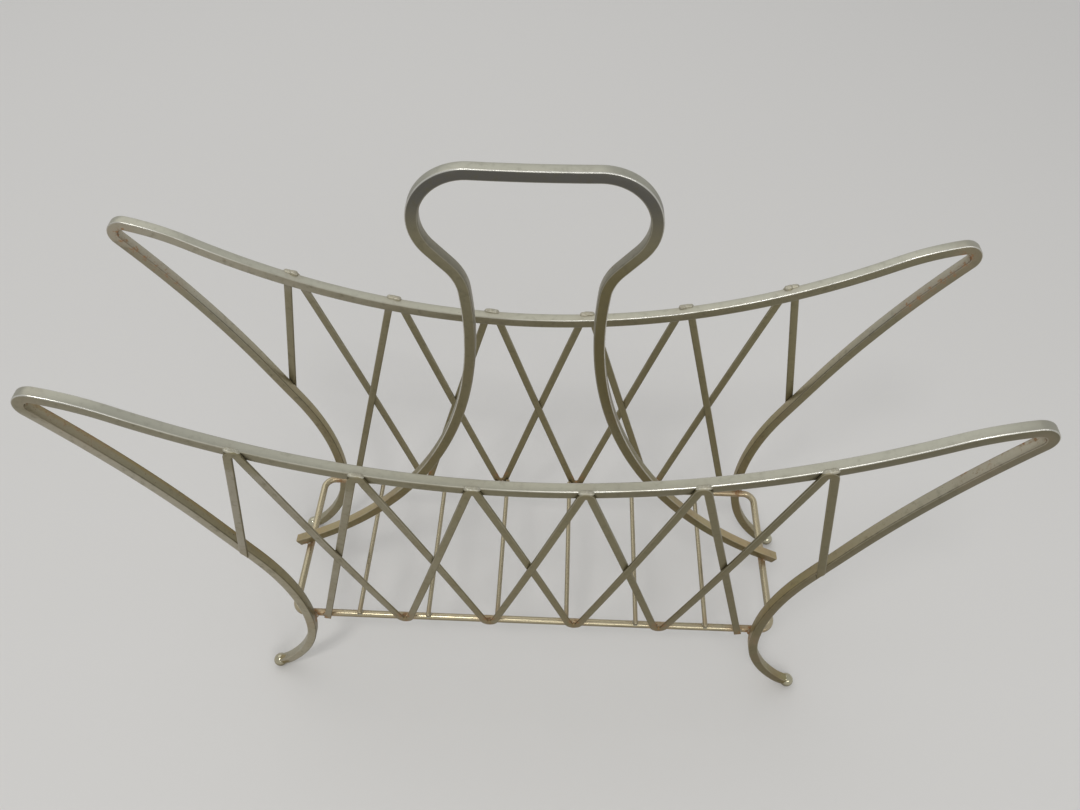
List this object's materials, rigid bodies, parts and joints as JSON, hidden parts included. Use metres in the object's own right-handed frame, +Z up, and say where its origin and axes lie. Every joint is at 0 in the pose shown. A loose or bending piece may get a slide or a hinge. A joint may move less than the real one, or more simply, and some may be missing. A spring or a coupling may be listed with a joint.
{
  "type": "magazine basket",
  "caption": "Open magazine basket of bent square bar with crossed lattice sides that flare into pointed tips, a wire floor, ball feet and a tall bottle-shaped carry handle.",
  "frame": {"origin": "middle of the basket's footprint, on the floor", "axes": "+X along the basket, +Y to its rear side, +Z up"},
  "size_m": [0.5104, 0.141, 0.4174],
  "materials": {
    "plated_bar": "aged satin champagne plating",
    "plated_strip": "aged satin champagne plating, darker and rusty at the welds",
    "plated_rod": "aged satin brass-coloured plating",
    "plated_ball": "worn semi-gloss champagne plating"
  },
  "bodies": {
    "root": {"rear_side_frame": "plated_bar", "rear_lattice_first_zigzag": "plated_strip", "rear_lattice_second_zigzag": "plated_strip", "rear_left_foot_ball": "plated_ball", "rear_right_foot_ball": "plated_ball", "front_side_frame": "plated_bar", "front_lattice_first_zigzag": "plated_strip", "front_lattice_second_zigzag": "plated_strip", "front_left_foot_ball": "plated_ball", "front_right_foot_ball": "plated_ball", "base_frame": "plated_rod", "base_cross_wire_1": "plated_rod", "base_cross_wire_2": "plated_rod", "base_cross_wire_3": "plated_rod", "base_cross_wire_4": "plated_rod", "base_cross_wire_5": "plated_rod", "base_cross_wire_6": "plated_rod", "carry_handle": "plated_bar"}
  },
  "joints": []
}
